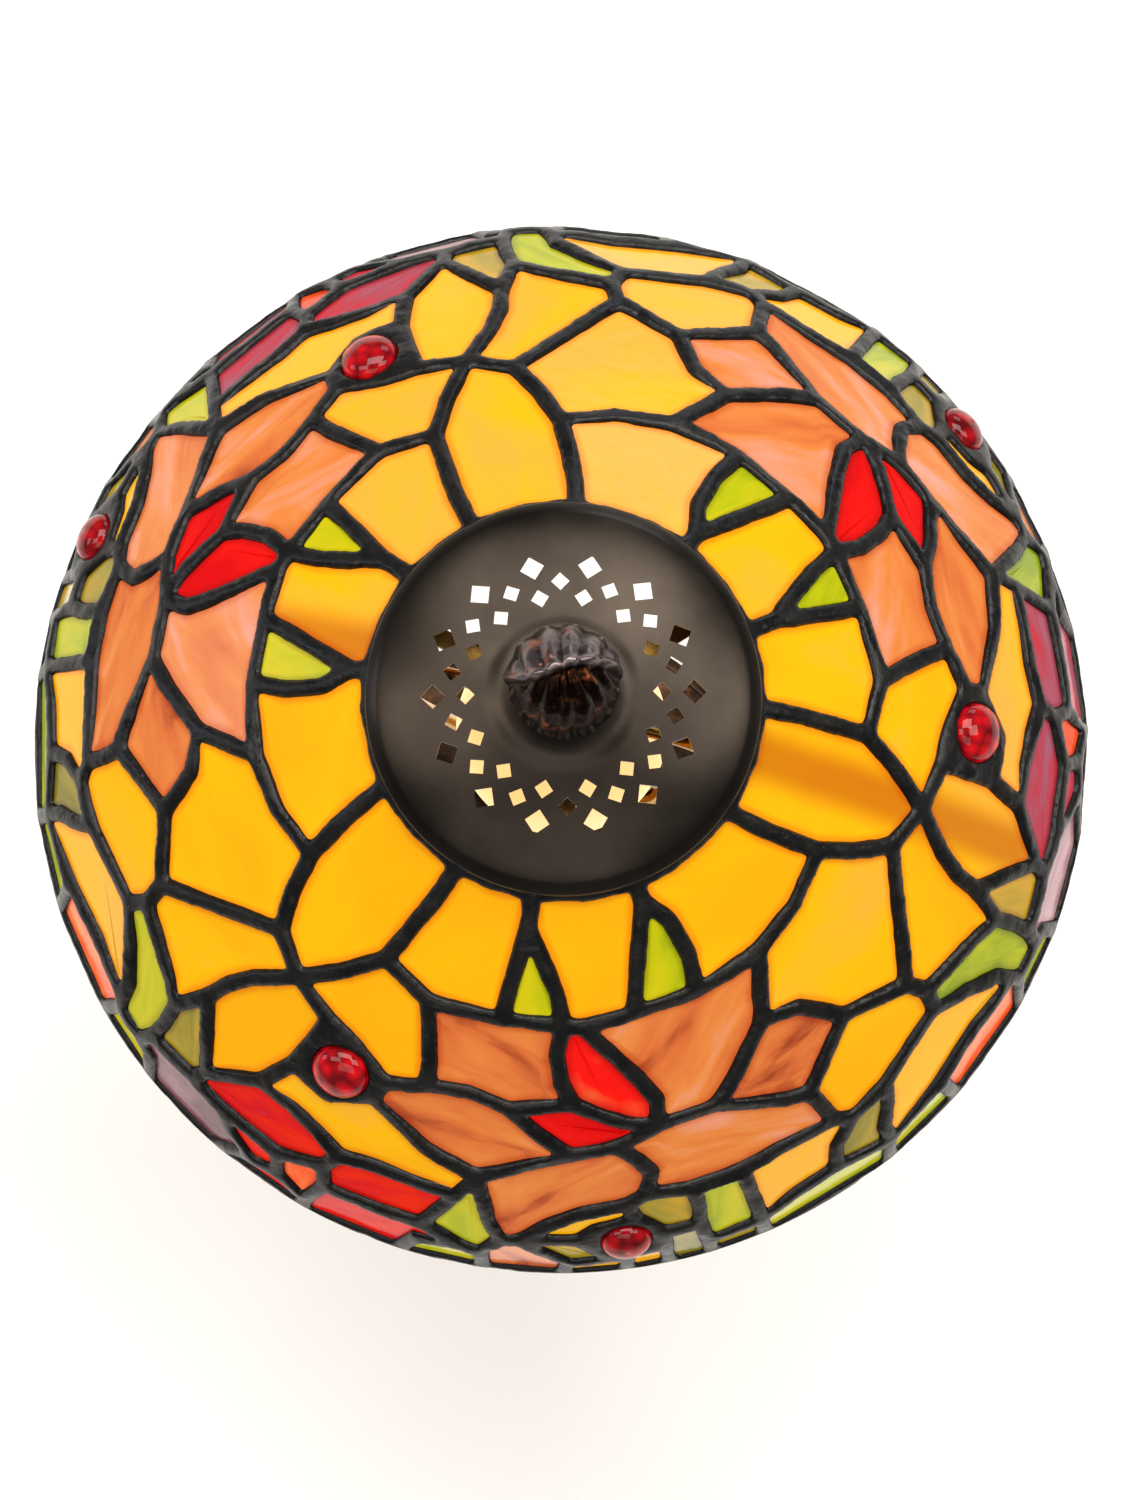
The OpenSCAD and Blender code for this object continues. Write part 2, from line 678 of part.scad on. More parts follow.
module bulb_filament() {
    color([0.9, 0.85, 0.8]) {
        translate([0, 0, 306.9]) cylinder(r1 = 5, r2 = 3, h = 12);
        translate([0, 0, 318.9]) cylinder(r = 2, h = 18);
        for (s = [-1, 1])
            translate([s * 1.6, 0, 334])
                rotate([0, s * 22, 0])
                    cylinder(r = 0.4, h = 24);
        translate([-10.6, 0, 356])
            rotate([0, 90, 0])
                cylinder(r = 0.7, h = 21.2);
    }
}

/* ---- stem ---- */

module lamp_pipe() {
    color(brass)
        tube(3.4, 4.8, 5, 260);
}

module stem_cup() {
    color(dark)
        rotate_extrude()
            polygon([
                [4.85, 204], [9.5, 204], [10, 206], [8, 209], [7.4, 214], [8.6, 220], [12, 227], [16, 232],
                [17.4, 236], [16, 240], [11.5, 243], [10.5, 246], [4.85, 246]
            ]);
}

module stem_column() {
    color(dark)
        difference() {
            union() {
                translate([0, 0, 96]) cylinder(r = column_r, h = 104);
                for (z = [98, 190])
                    translate([0, 0, z])
                        rotate_extrude()
                            polygon([
                                [5, 0], [column_r, 0], [column_r + 1.4, 1.5], [column_r + 1.4, 4.5],
                                [column_r, 6], [5, 6]
                            ]);
            }
            translate([0, 0, 90]) cylinder(r = 4.85, h = 120);
            for (a = [0:30:359])
                rotate([0, 0, a])
                    translate([column_r + 0.7, 0, 107])
                        cylinder(r = 1.7, h = 80);
        }
}

module stem_urn() {
    color(dark)
        rotate_extrude()
            polygon([
                [4.85, 46], [17, 46], [18, 48], [17, 50], [12.5, 53], [11, 56], [13, 60], [17.5, 65],
                [20, 70],
                [20.4, 74], [18.6, 79], [14.5, 84], [10.5, 88], [9.6, 92], [4.85, 92]
            ]);
}

module check_rings() {
    color(brass)
        for (z = [92, 200])
            rotate_extrude()
                polygon([
                    [4.85, z], [11.5, z], [12.6, z + 1], [12.9, z + 2], [12.6, z + 3], [11.5, z + 4],
                    [4.85, z + 4]
                ]);
}

/* ---- base ---- */

module base_foot() {
    r = foot_r;
    color(dark)
        difference() {
            rotate_extrude()
                    polygon([
                        [r, 2], [r, 12], [r - 1.5, 13.5], [r - 4, 14], [r - 5, 16], [60, 21.5], [42, 28],
                        [28, 35], [21, 40], [19, 43], [19, 46], [4.85, 46], [4.85, 38], [12, 38],
                        [18, 33], [27, 30], [40, 23.5], [58, 17], [r - 6, 12], [r - 3.5, 9], [r - 3.5, 2]
                    ]);
            for (k = [0:rib_n - 1])
                rotate([0, 0, (k + 0.5) * 360 / rib_n])
                    foot_groove();
            translate([0, 0, 8]) rotate([-90, 0, 0]) cylinder(r = 3.6, h = 100);
        }
}

// Hollow between two ribs on the foot's slope, widest near the edge.
module foot_groove() {
    translate([24, 0, 40.2])
        rotate([0, 90 + 21, 0])
            cylinder(r1 = 2.6, r2 = 8, h = 46);
}

// Insulating sleeve in the cord's hole at the back of the foot.
module cord_bushing() {
    color([0.12, 0.1, 0.09])
        translate([0, foot_r - 3.6, 8])
            rotate([-90, 0, 0])
                difference() {
                    union() {
                        cylinder(r = 3.55, h = 4);
                        translate([0, 0, 3.65]) cylinder(r = 5, h = 1.6);
                    }
                    translate([0, 0, -1]) cylinder(r = 2.4, h = 9);
                }
}

module ballast() {
    color([0.25, 0.25, 0.26])
        rotate_extrude()
            polygon([
                [5, 10], [56, 10], [56, 15.5], [38, 21.5], [25, 28], [16, 32], [11, 36], [11, 38], [5, 38]
            ]);
}

module lock_washer() {
    color(brass)
        tube(5, 9, 8.6, 10);
}

module pipe_nut() {
    color(brass)
        translate([0, 0, 5.2])
            difference() {
                cylinder(r = 8, h = 3.4, $fn = 6);
                translate([0, 0, -1]) cylinder(r = 4.85, h = 6);
            }
}

module bottom_plate() {
    color([0.3, 0.3, 0.31])
        translate([0, 0, 2]) cylinder(r = foot_r - 3.6, h = 1.4);
}

module felt_pad() {
    color([0.1, 0.22, 0.14])
        cylinder(r = foot_r - 1, h = 2);
}

glass_amber();
glass_peach();
glass_red();
glass_rose();
glass_orange();
glass_green();
glass_olive();
glass_mauve();
glass_border();
jewels_upper();
jewels_lower();
solder_a();
solder_b();
solder_c();
rim_band();
collar_ring();
shade_wheel();
vent_cap();
cap_spacer();
finial_washer();
finial();
harp_loop();
harp_boss();
harp_saddle();
ferrule_left();
ferrule_right();
socket_cap();
socket_shell();
socket_liner();
switch_body();
screw_shell();
contact_spring();
chain_guide();
pull_chain();
chain_bob();
bulb_glass();
bulb_base();
bulb_insulator();
bulb_filament();
lamp_pipe();
stem_cup();
stem_column();
stem_urn();
check_rings();
base_foot();
cord_bushing();
ballast();
lock_washer();
pipe_nut();
bottom_plate();
felt_pad();
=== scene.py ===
"""Table lamp with a dome shade of leaded glass, on a turned bronze stem and a ribbed round foot."""

import bpy
import bmesh
import random
from math import atan2, cos, hypot, pi, radians, sin
from mathutils import Matrix, Vector, noise


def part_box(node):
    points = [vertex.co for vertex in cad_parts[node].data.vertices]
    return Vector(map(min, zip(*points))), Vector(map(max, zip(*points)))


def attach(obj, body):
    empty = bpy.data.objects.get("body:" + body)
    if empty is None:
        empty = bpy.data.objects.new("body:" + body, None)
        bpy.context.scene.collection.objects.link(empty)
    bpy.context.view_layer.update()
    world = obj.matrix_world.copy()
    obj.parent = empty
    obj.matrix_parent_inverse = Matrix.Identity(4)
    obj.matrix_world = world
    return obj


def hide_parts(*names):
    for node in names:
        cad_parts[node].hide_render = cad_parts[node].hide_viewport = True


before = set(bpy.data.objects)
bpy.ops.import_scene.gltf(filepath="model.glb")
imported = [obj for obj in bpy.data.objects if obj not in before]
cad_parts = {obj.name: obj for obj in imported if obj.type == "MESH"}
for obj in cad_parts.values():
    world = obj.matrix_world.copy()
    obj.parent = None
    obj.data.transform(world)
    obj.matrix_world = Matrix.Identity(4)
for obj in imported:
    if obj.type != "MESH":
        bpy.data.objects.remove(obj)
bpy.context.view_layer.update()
scene = bpy.context.scene


# ---- Felt pad and bottom plate ----
# The lamp stands on a disc of green wool felt, glued to a zinc-plated steel plate.
# The plate closes the foot from below and keeps the iron weight in.

def linear(code, alpha=1.0):
    """An sRGB hex colour as the linear values a shader takes."""
    parts = [int(code[i:i + 2], 16) / 255 for i in (0, 2, 4)]
    return [c / 12.92 if c <= 0.04045 else ((c + 0.055) / 1.055) ** 2.4 for c in parts] + [alpha]


def add(material, kind, inputs=(), **settings):
    """One node, with its settings, and its inputs as values or as links from other nodes."""
    tree = material.node_tree
    node = tree.nodes.new("ShaderNode" + kind)
    for name, value in settings.items():
        setattr(node, name, value)
    for name, value in dict(inputs).items():
        if isinstance(value, bpy.types.NodeSocket):
            tree.links.new(value, node.inputs[name])
        else:
            node.inputs[name].default_value = value
    return node


def finish_called(name, rough, metal=0.0, **sockets):
    """A new material and its shader, with the values that hold all over the surface."""
    material = bpy.data.materials.new(name)
    material.use_nodes = True
    shader = material.node_tree.nodes["Principled BSDF"]
    shader.inputs["Roughness"].default_value = rough
    shader.inputs["Metallic"].default_value = metal
    for socket, value in sockets.items():
        shader.inputs[socket.replace("_", " ")].default_value = value
    return material, shader


def feed(material, shader, **links):
    for socket, source in links.items():
        material.node_tree.links.new(source, shader.inputs[socket.replace("_", " ")])


def speckle(material, at, scale, detail, rough=0.5):
    """Noise over the surface, in grains that are 1 / scale metres apart."""
    grain = add(material, "TexNoise", {"Vector": at, "Scale": scale, "Detail": detail, "Roughness": rough})
    return grain.outputs["Fac"]


def ramped(material, value, *stops):
    """A value from 0 to 1 made into a colour, by stops that each have a place and an sRGB hex."""
    ramp = add(material, "ValToRGB", {"Fac": value})
    marks = ramp.color_ramp.elements
    while len(marks) < len(stops):
        marks.new(0.5)
    for k, (at, code) in enumerate(stops):
        marks[k].position = at
        marks[k].color = linear(code)
    return ramp.outputs["Color"]


def mottled(material, at, size, dark, light):
    """Two colours run into each other in patches of one real size in metres."""
    patch = speckle(material, at, 1 / size, 5.0)
    return ramped(material, patch, (0.35, dark), (0.65, light)), patch


def bumps(material, shader, height, strength, depth):
    lift = add(material, "Bump", {"Height": height, "Strength": strength, "Distance": depth})
    feed(material, shader, Normal=lift.outputs["Normal"])


def own_place(material):
    return add(material, "TexCoord").outputs["Object"]


def packed_shape(*nodes, flat=0.3):
    """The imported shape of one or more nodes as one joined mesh, with flat faces whole."""
    shape = bmesh.new()
    for node in nodes:
        shape.from_mesh(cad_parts[node].data)
    bmesh.ops.remove_doubles(shape, verts=shape.verts, dist=2e-6)
    bmesh.ops.dissolve_limit(shape, angle_limit=radians(flat), verts=shape.verts, edges=shape.edges)
    return shape


def piece(name, shape, body, material, slot, *nodes, crease=40):
    """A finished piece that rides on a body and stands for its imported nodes."""
    mesh = bpy.data.meshes.new(name)
    shape.to_mesh(mesh)
    shape.free()
    mesh.materials.append(material)
    mesh.shade_smooth()
    if crease:
        mesh.set_sharp_from_angle(angle=radians(crease))
    made = bpy.data.objects.new(name, mesh)
    scene.collection.objects.link(made)
    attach(made, body)
    if nodes:
        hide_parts(*nodes)
    return made


def eased(made, width, angle=38):
    """Worn or cast edges: a small rounding, in metres."""
    edge = made.modifiers.new("eased_edges", "BEVEL")
    edge.width = width
    edge.segments = 2
    edge.limit_method = "ANGLE"
    edge.angle_limit = radians(angle)
    edge.use_clamp_overlap = True
    even = made.modifiers.new("even_shading", "WEIGHTED_NORMAL")
    even.keep_sharp = True
    return made


def smoothed(shape, verts, turns, factor=0.5, **axes):
    """Moves points toward their neighbours, some turns over, along the axes named or along all three."""
    ways = axes or {"use_axis_x": True, "use_axis_y": True, "use_axis_z": True}
    for turn in range(turns):
        bmesh.ops.smooth_vert(shape, verts=verts, factor=factor, **ways)


# Pressed wool felt: short fibres that lie every way give a soft, mottled, dull green.
felt, skin = finish_called("pressed_wool_felt", 0.95, Sheen_Weight=0.6, Sheen_Roughness=0.5)
place = own_place(felt)
tint, patch = mottled(felt, place, 0.0016, "1c3a26", "2f5a3c")
feed(felt, skin, Base_Color=tint)
bumps(felt, skin, patch, 0.6, 0.0004)
eased(piece("felt_disc", packed_shape("felt_pad"), "base", felt, "felt", "felt_pad"), 0.0004)

# Zinc-plated steel: a pale grey metal with faint bluish crystals a few millimetres across.
zinc, skin = finish_called("zinc_plated_steel", 0.38, 1.0)
place = own_place(zinc)
tint, patch = mottled(zinc, place, 0.006, "8d9094", "b4b8bb")
feed(zinc, skin, Base_Color=tint)
bumps(zinc, skin, patch, 0.15, 0.0003)
eased(piece("base_plate", packed_shape("bottom_plate"), "base", zinc, "plate_steel", "bottom_plate"), 0.0002)


# ---- Foot and its weight ----
# A round foot cast in one piece, with ribs pressed into its slope, plated and darkened.
# A raw iron casting sits inside it, and a moulded bushing lines the hole for the cord.

def stretched(material, value, start, end, first, last, **settings):
    """A value between start and end, made to run from first to last."""
    ends = {"Value": value, "From Min": start, "From Max": end, "To Min": first, "To Max": last}
    return add(material, "MapRange", ends, **settings).outputs[0]


def blended(material, share, under, over, how="MIX"):
    """One colour laid over another by a share from 0 to 1. The Mix node's colours are inputs 6 and 7."""
    mix = add(material, "Mix", {0: share, 6: under, 7: over}, data_type="RGBA", blend_type=how)
    return mix.outputs[2]


def turned_from(outline, base, steps, closed=True, split=slice(0), cuts=0):
    """A shape turned on the lamp's axis, from an outline in millimetres over a base height in metres."""
    shape = bmesh.new()
    ring = [shape.verts.new((out / 1000, 0, base + up / 1000)) for out, up in outline]
    ahead_of = ring[1:] + ring[:1] if closed else ring[1:]
    line = [shape.edges.new(pair) for pair in zip(ring, ahead_of)]
    if cuts:
        bmesh.ops.subdivide_edges(shape, edges=line[split], cuts=cuts)
    bmesh.ops.spin(shape, geom=shape.verts[:] + shape.edges[:], cent=(0, 0, 0), axis=(0, 0, 1), angle=2 * pi,
                   steps=steps, use_merge=True)
    bmesh.ops.remove_doubles(shape, verts=shape.verts, dist=1e-5)
    bmesh.ops.recalc_face_normals(shape, faces=shape.faces)
    return shape


def object_of(name, shape):
    """A new object in the scene from a shape that isn't needed again."""
    mesh = bpy.data.meshes.new(name)
    shape.to_mesh(mesh)
    shape.free()
    made = bpy.data.objects.new(name, mesh)
    scene.collection.objects.link(made)
    return made


def modified(shape, kind, **settings):
    """What one modifier makes of a shape."""
    blank = object_of("blank", shape)
    change = blank.modifiers.new("change", kind)
    for setting, value in settings.items():
        setattr(change, setting, value)
    bpy.context.view_layer.update()
    changed = bpy.data.meshes.new_from_object(blank.evaluated_get(bpy.context.evaluated_depsgraph_get()))
    result = bmesh.new()
    result.from_mesh(changed)
    for used in (blank.data, changed):
        bpy.data.meshes.remove(used)
    return result


def cut_with(shape, tool):
    """The shape less the room that a tool takes."""
    cutter = object_of("cutter", tool)
    left = modified(shape, "BOOLEAN", object=cutter, operation="DIFFERENCE")
    bpy.data.meshes.remove(cutter.data)
    return left


def rubbed_bronze(name, low, high, bright, rough):
    """Cast bronze, darkened and rubbed back: brown-black skin, browner and brighter in patches."""
    metal, skin = finish_called(name, rough, 1.0)
    place = own_place(metal)
    tint, patch = mottled(metal, place, 0.018, low, high)
    worn = speckle(metal, place, 180.0, 6.0, 0.7)
    tint = blended(metal, stretched(metal, worn, 0.55, 0.78, 0.0, 0.75), tint, linear(bright))
    gloss = stretched(metal, patch, 0.3, 0.7, rough - 0.08, rough + 0.12)
    feed(metal, skin, Base_Color=tint, Roughness=gloss)
    bumps(metal, skin, speckle(metal, place, 900.0, 3.0), 0.25, 0.00025)
    return metal


# Cast bronze: a near-black brown skin, rubbed through to a warmer, brighter metal in small patches.
cast_bronze = rubbed_bronze("cast_dark_bronze", "231812", "3a2a1f", "6b4a30", 0.36)

# The foot is turned from its outline in millimetres, then its slope is fluted between the ribs.
outline = [(80, 2), (80, 12), (78.5, 13.5), (76, 14), (75, 16), (60, 21.5), (42, 28), (28, 35), (21, 40),
           (19, 43), (19, 46), (4.85, 46), (4.85, 38), (12, 38), (18, 33), (27, 30), (40, 23.5), (58, 17),
           (74, 12), (76.5, 9), (76.5, 2)]
foot = turned_from(outline, 0.0, 320, split=slice(4, 8), cuts=7)
slope = [v for v in foot.verts if 0.0215 < hypot(v.co.x, v.co.y) < 0.0745 and v.normal.z > 0.3]
smoothed(foot, slope, 6, use_axis_z=True)
for v in slope:
    way = min(1, max(0, (hypot(v.co.x, v.co.y) - 0.026) / 0.046))
    flute = abs(sin(atan2(v.co.y, v.co.x) * 8)) ** 1.5
    v.co.z -= 0.0026 * way * (1 - way ** 8) * flute
drill = bmesh.new()
bmesh.ops.create_cone(drill, cap_ends=True, segments=40, radius1=0.0036, radius2=0.0036, depth=0.03,
                      matrix=Matrix.Translation((0, 0.08, 0.008)) @ Matrix.Rotation(radians(90), 4, "X"))
foot = cut_with(foot, drill)
eased(piece("foot", foot, "base", cast_bronze, "cast_bronze", "base_foot"), 0.0006)

# Raw cast iron: near black, rough from the sand mould, with a little rust brown.
raw_iron, skin = finish_called("raw_cast_iron", 0.7, 0.9)
place = own_place(raw_iron)
tint, patch = mottled(raw_iron, place, 0.009, "2a2624", "45362c")
feed(raw_iron, skin, Base_Color=tint)
bumps(raw_iron, skin, patch, 0.5, 0.0006)
eased(piece("foot_weight", packed_shape("ballast"), "base", raw_iron, "iron", "ballast"), 0.0006)

# Moulded phenolic: black-brown, slightly glossy, with a trace of mould texture.
phenolic, skin = finish_called("moulded_phenolic", 0.35)
place = own_place(phenolic)
tint, patch = mottled(phenolic, place, 0.004, "17110d", "241b15")
feed(phenolic, skin, Base_Color=tint)
bumps(phenolic, skin, patch, 0.2, 0.0002)
eased(piece("cord_hole_bushing", packed_shape("cord_bushing"), "base", phenolic, "dark_plastic",
            "cord_bushing"), 0.0003)


# ---- Stem ----
# Turned and cast lengths stacked on a threaded pipe: an urn, a fluted column and a cup,
# with thin brass check rings between them, drawn together by a nut inside the foot.

for node in ("stem_urn", "stem_column", "stem_cup"):
    eased(piece(node.replace("stem_", "turned_"), packed_shape(node), "base", cast_bronze, "cast_bronze",
                node), 0.0005)


def lacquered(name, dark, light, rough):
    """Turned brass under clear lacquer: warm yellow, with faint lines from the lathe round its axis."""
    metal, skin = finish_called(name, rough, 1.0, Coat_Weight=0.3, Coat_Roughness=0.12)
    place = own_place(metal)
    tint, patch = mottled(metal, place, 0.012, dark, light)
    turned = add(metal, "Mapping", {"Vector": place, "Scale": (0.05, 0.05, 1.0)})
    lines = speckle(metal, turned.outputs[0], 2500.0, 2.0)
    gloss = stretched(metal, patch, 0.3, 0.7, rough - 0.06, rough + 0.1)
    feed(metal, skin, Base_Color=tint, Roughness=gloss)
    bumps(metal, skin, lines, 0.12, 0.0001)
    return metal


# Brass: bright and warm where it is handled and seen, and browner on the rings that were let age.
brass = lacquered("lacquered_brass", "a57b38", "c79c52", 0.24)
aged_brass = lacquered("aged_brass", "5b4322", "836332", 0.33)
eased(piece("rings_on_stem", packed_shape("check_rings"), "base", aged_brass, "aged_brass",
            "check_rings"), 0.0003)
for node in ("lamp_pipe", "lock_washer", "pipe_nut"):
    piece("brass_" + node, packed_shape(node), "base", brass, "brass", node, crease=30)


# ---- Socket, switch and pull chain ----
# A brass shell socket on a saddle, with a fibre liner, a moulded switch body and a screw shell.
# The beaded chain comes out of a small guide at the front and hangs with a cast bob on it.

for node, round_off in (("harp_saddle", 0.0003), ("socket_cap", 0.0003), ("socket_shell", 0.0002),
                        ("chain_guide", 0.0002)):
    eased(piece("brass_" + node, packed_shape(node), "base", brass, "brass", node), round_off)
for node in ("screw_shell", "contact_spring"):
    piece("brass_" + node, packed_shape(node), "base", brass, "brass", node)

# Vulcanised fibre board: a tan card with long fibres.
fibre_board, skin = finish_called("vulcanised_fibre", 0.8)
place = own_place(fibre_board)
tint, patch = mottled(fibre_board, place, 0.003, "8f7a52", "b09a6c")
feed(fibre_board, skin, Base_Color=tint)
bumps(fibre_board, skin, patch, 0.3, 0.0002)
piece("fibre_liner", packed_shape("socket_liner"), "base", fibre_board, "liner_card", "socket_liner")
piece("moulded_switch", packed_shape("switch_body"), "base", phenolic, "dark_plastic", "switch_body")

piece("bead_chain", packed_shape("pull_chain"), "chain", brass, "brass", "pull_chain", crease=60)
eased(piece("cast_bob", packed_shape("chain_bob"), "chain", cast_bronze, "cast_bronze", "chain_bob"), 0.0002)
for side in ("left", "right"):
    eased(piece(side + "_sleeve", packed_shape("ferrule_" + side), "lock_" + side, brass, "brass",
                "ferrule_" + side), 0.0003)


# ---- Bulb ----
# A round frosted bulb, lit, warm white, on a rolled aluminium screw base.
# The light it throws down through the open shade is its own glow.

def glow_of(material, skin, tint, share):
    """A surface that glows in one colour and has a share of that colour of its own."""
    own = blended(material, 1.0, tint, (share, share, share, 1), "MULTIPLY")
    feed(material, skin, Base_Color=own, Emission_Color=tint)


# Frosted glass, lit from inside: an even, creamy glow with no filament to be seen.
frosted, skin = finish_called("lit_frosted_bulb_glass", 0.4, Emission_Strength=1.1)
glow_of(frosted, skin, mottled(frosted, own_place(frosted), 0.03, "ffcc80", "ffd898")[0], 0.25)
piece("round_bulb", packed_shape("bulb_glass"), "bulb", frosted, "bulb_glass", "bulb_glass", crease=60)

# Rolled aluminium: pale, silvery and a little dull.
rolled, skin = finish_called("rolled_aluminium", 0.32, 1.0)
place = own_place(rolled)
tint, patch = mottled(rolled, place, 0.005, "b9b6ae", "d6d4cf")
feed(rolled, skin, Base_Color=tint)
bumps(rolled, skin, patch, 0.15, 0.0002)
eased(piece("bulb_screw_base", packed_shape("bulb_base"), "bulb", rolled, "bulb_metal", "bulb_base"), 0.0002)
piece("bulb_contact_ring", packed_shape("bulb_insulator"), "bulb", phenolic, "dark_plastic", "bulb_insulator")

# The mount inside the bulb: glass and wire that only shows as something pale.
wire, skin = finish_called("glass_mount_and_tungsten", 0.3, 0.6)
feed(wire, skin, Base_Color=mottled(wire, own_place(wire), 0.002, "b9b2a4", "d8d0c0")[0])
piece("lamp_mount", packed_shape("bulb_filament"), "bulb", wire, "filament", "bulb_filament")


# ---- Harp and wheel ----
# A bent brass wire harp locks on the saddle, and its boss and stud carry a three-armed wheel.
# The wheel holds the shade at the ring soldered in its top.

for node, round_off in (("harp_loop", 0.0), ("harp_boss", 0.0002), ("shade_wheel", 0.0004),
                        ("cap_spacer", 0.0002)):
    made = piece("brass_" + node, packed_shape(node), "base", brass, "brass", node)
    if round_off:
        eased(made, round_off)


# ---- Glass panes ----
# Each pane is cut from a flat sheet about 3 mm thick and stands in the seams as one flat facet.
# Opalescent sheet scatters the light behind it; that glow is painted into each pane as its own light, and a
# painted shade dims it a little at its edges, by the seams.

def separate_panes(shape):
    """The faces of each pane in turn: those that hang together by their edges."""
    left = dict.fromkeys(shape.faces)
    while left:
        pane, edge = {}, [next(iter(left))]
        while edge:
            face = edge.pop()
            if face in pane:
                continue
            pane[face] = None
            edge += [near for side in face.edges for near in side.link_faces if near not in pane]
        left = {face: None for face in left if face not in pane}
        yield pane


def pane_number(middle):
    """A number from 0 to 1 that is a pane's own, drawn afresh from where it sits in the dome."""
    draw = random.Random(round(middle.x * 400) * 9973 + round(middle.y * 400) * 17 + round(middle.z * 400))
    return draw.random()


def sheet_of(node, painted_light_angle, painted_light_lean):
    """Numbers the panes of one glass, lays them along the sheet and insets their faces for the painted shade
    by the seams.
    The numbers lean to one compass angle, so that side of the dome gets the later colours: painted light and
    reflection."""
    shape = packed_shape(node, flat=2)
    number = shape.verts.layers.float.new("pane")
    inner = shape.verts.layers.float.new("inner")
    sheet = shape.loops.layers.uv.new("sheet")
    to_inset = []
    for pane in separate_panes(shape):
        face = max(pane, key=lambda f: f.calc_area())
        up = face.normal.copy()
        points = list(dict.fromkeys(v for f in pane for v in f.verts))
        middle = sum((v.co for v in points), Vector()) / len(points)
        along = max((a.co - b.co for a in face.verts for b in face.verts), key=lambda d: d.length)
        along.normalize()
        across = up.cross(along)
        own = pane_number(middle)
        # Painted light and reflection: panes on the side at the given compass angle are drawn to the later
        # colours of their glass.
        painted_side_share = 0.5 + 0.5 * cos(atan2(middle.y, middle.x) - radians(painted_light_angle))
        own += painted_light_lean * (painted_side_share - own)
        for v in points:
            v[number] = own
        for f in pane:
            for corner in f.loops:
                offset = corner.vert.co - middle
                corner[sheet].uv = (offset.dot(along), offset.dot(across))
        width = min(0.003, 0.7 * face.calc_area() / sum(e.calc_length() for e in face.edges))
        to_inset += [(f, width) for f in pane if abs(f.normal.dot(up)) > 0.99 and f.calc_area() > 1e-5]
    for face, width in to_inset:
        bmesh.ops.inset_individual(shape, faces=[face], thickness=width, use_even_offset=False)
        for v in face.verts:
            v[inner] = 1.0
    return shape


def sheet_glass(name, *colours, streak, spread, flow, edge, rough=0.16, glow=0.62, shine=0.24, harp=False):
    """Rolled art glass, lit from behind, with that light painted in as the glass's own glow. Colours lie in
    streaks, streak metres wide and flow times as long.
    Spread says how far panes differ, and edge is the tint of the painted shade near the seams."""
    glass, skin = finish_called(name, rough, IOR=1.52, Emission_Strength=glow, Specular_IOR_Level=shine)
    sheet = add(glass, "UVMap", uv_map="sheet").outputs["UV"]
    own = add(glass, "Attribute", attribute_name="pane").outputs["Fac"]
    inner = add(glass, "Attribute", attribute_name="inner").outputs["Fac"]
    seed = add(glass, "Math", {0: own, 1: 40.0}, operation="MULTIPLY").outputs[0]
    pulled = add(glass, "Mapping", {"Vector": sheet, "Scale": (1 / flow, 1.0, 1.0)}).outputs[0]
    streaks = add(glass, "TexNoise", {"Vector": pulled, "W": seed, "Scale": 1 / streak, "Detail": 3.5,
                                      "Roughness": 0.55, "Distortion": 0.5}, noise_dimensions="4D")
    shift = add(glass, "Math", {0: own, 1: spread, 2: -spread / 2}, operation="MULTIPLY_ADD")
    level = add(glass, "Math", {0: streaks.outputs["Fac"], 1: shift.outputs[0]}, operation="ADD")
    tint = ramped(glass, level.outputs[0], *colours)
    # Painted shade: the pane's colour is taken down to the edge tint near its seams.
    seam_shade = stretched(glass, inner, 0.0, 1.0, 1.0, 0.0, interpolation_type="SMOOTHSTEP")
    tint = blended(glass, seam_shade, tint, linear(edge), "MULTIPLY")
    # Painted shadow: the harp's legs darken the amber panes in two soft bands.
    if harp:
        tint = painted_harp_shadow(glass, tint)
    # Painted light: the pane glows in its own colour, standing in for the bulb's light coming through it.
    glow_of(glass, skin, tint, 0.34)
    ripple = add(glass, "TexNoise", {"Vector": sheet, "W": seed, "Scale": 130.0, "Detail": 2.0},
                 noise_dimensions="4D")
    bumps(glass, skin, ripple.outputs["Fac"], 0.25, 0.0005)
    return glass


def painted_harp_shadow(glass, tint):
    """Painted shadow: two soft brown bands on the panes, in the plane of the harp's legs between the bulb and
    the glass.
    """
    place = own_place(glass)
    turned = add(glass, "Mapping", {"Vector": place, "Rotation": (0, 0, radians(17))})
    axes = add(glass, "SeparateXYZ", {0: turned.outputs[0]})
    off = add(glass, "Math", {0: axes.outputs["Y"]}, operation="ABSOLUTE")
    shadow_share = stretched(glass, off.outputs[0], 0.002, 0.011, 0.75, 0.0, interpolation_type="SMOOTHSTEP")
    return blended(glass, shadow_share, tint, linear("c98a5a"), "MULTIPLY")


# Amber: the even golden glow of the petals, a little peachier on the far side, where the panes get a painted
# reflection of the light behind.
# harp=True adds the painted shadow of the harp's legs to the amber panes.
amber = sheet_glass("opalescent_amber_sheet", (0.25, "fcb000"), (0.5, "ffbc02"), (0.75, "fbb23a"),
                    streak=0.03, spread=0.5, flow=2.0, edge="f4c8a0", harp=True)
# Pale amber: the border row, creamy; painted light and reflection make it redder on the near side and pale,
# bluish on the far side.
border = sheet_glass("opalescent_pale_amber_sheet", (0.2, "d8421c"), (0.36, "eca242"), (0.54, "f8deae"),
                     (0.72, "e6e0e8"), streak=0.03, spread=0.5, flow=2.0, edge="f4d8b8")
